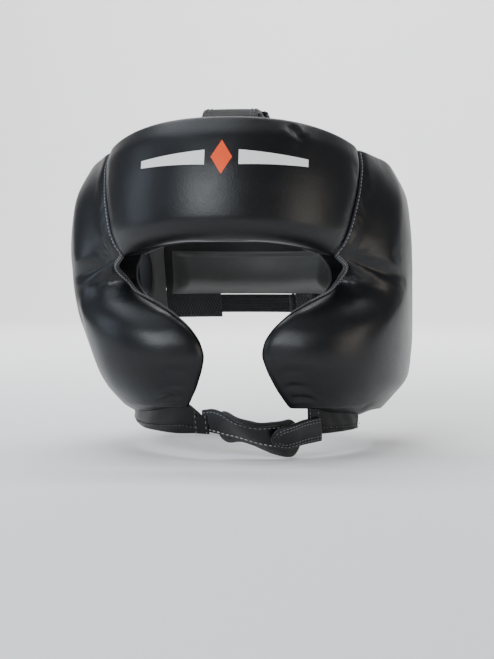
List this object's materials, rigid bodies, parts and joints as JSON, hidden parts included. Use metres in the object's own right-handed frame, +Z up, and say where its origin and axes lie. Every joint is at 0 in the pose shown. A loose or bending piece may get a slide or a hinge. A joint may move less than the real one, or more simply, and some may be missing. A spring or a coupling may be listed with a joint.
{
  "type": "boxing headgear",
  "caption": "Padded boxing headgear with full cheek pads, ear panels, a crown strap, a buckled closure behind the neck and a chin strap.",
  "frame": {"origin": "on the ground under the middle of the overall box, with the chin strap's lowest edge at height 0", "axes": "+Z up towards the crown, -Y the way the wearer looks, +X to the wearer's left"},
  "size_m": [0.2374, 0.247, 0.2297],
  "materials": {
    "black_leather": "smooth semi-gloss coated leather",
    "foam": "closed-cell foam",
    "lining_cloth": "soft matt lining",
    "binding_tape": "woven binding",
    "webbing": "woven nylon webbing",
    "elastic": "ribbed woven elastic",
    "hook_and_loop": "hook-and-loop tape",
    "black_plastic": "moulded plastic"
  },
  "bodies": {
    "shell": {"forehead_cover": "black_leather", "forehead_foam": "foam", "forehead_lining": "lining_cloth", "rear_pad_cover": "black_leather", "rear_pad_foam": "foam", "rear_pad_lining": "lining_cloth", "rear_buckle": "black_plastic", "rear_webbing_left": "webbing", "rear_webbing_right": "webbing", "rear_elastic": "elastic", "rear_loop_patch": "hook_and_loop", "crown_strap_front": "black_leather", "crown_loop_patch": "hook_and_loop", "crown_strap_anchor": "black_leather", "cheek_cover_left": "black_leather", "cheek_foam_left": "foam", "cheek_lining_left": "lining_cloth", "temple_welt_left": "binding_tape", "eye_binding_left": "binding_tape", "ear_panel_left": "black_leather", "ear_lining_left": "lining_cloth", "ear_ring_left": "binding_tape", "jaw_flap_left": "black_leather", "cheek_cover_right": "black_leather", "cheek_foam_right": "foam", "cheek_lining_right": "lining_cloth", "temple_welt_right": "binding_tape", "eye_binding_right": "binding_tape", "ear_panel_right": "black_leather", "ear_lining_right": "lining_cloth", "ear_ring_right": "binding_tape", "jaw_flap_right": "black_leather"},
    "chin_strap": {"chin_strap_right": "black_leather", "chin_loop_tape": "hook_and_loop"},
    "chin_tab": {"chin_strap_left": "black_leather", "chin_hook_patch": "hook_and_loop"},
    "rear_tab": {"rear_strap_tab": "black_leather", "rear_hook_patch": "hook_and_loop"},
    "crown_strap": {"crown_strap_rear": "black_leather", "crown_hook_patch": "hook_and_loop"}
  },
  "joints": [
    {"name": "chin_strap_swing", "type": "hinge", "parent": "shell", "child": "chin_strap", "pos_m": [-0.0141, -0.0882, 0.0235], "axis": [0, 0, 1], "range_deg": [0, 30]},
    {"name": "chin_tab_swing", "type": "hinge", "parent": "shell", "child": "chin_tab", "pos_m": [0.0587, -0.0767, 0.0169], "axis": [0, 0, 1], "range_deg": [0, 100]},
    {"name": "rear_tab_peel", "type": "hinge", "parent": "shell", "child": "rear_tab", "pos_m": [0.0265, 0.1066, 0.0946], "axis": [0, 0, -1], "range_deg": [0, 70]},
    {"name": "crown_strap_peel", "type": "hinge", "parent": "shell", "child": "crown_strap", "pos_m": [-0.0004, 0.1199, 0.1699], "axis": [-1, 0, 0], "range_deg": [0, 100]}
  ]
}
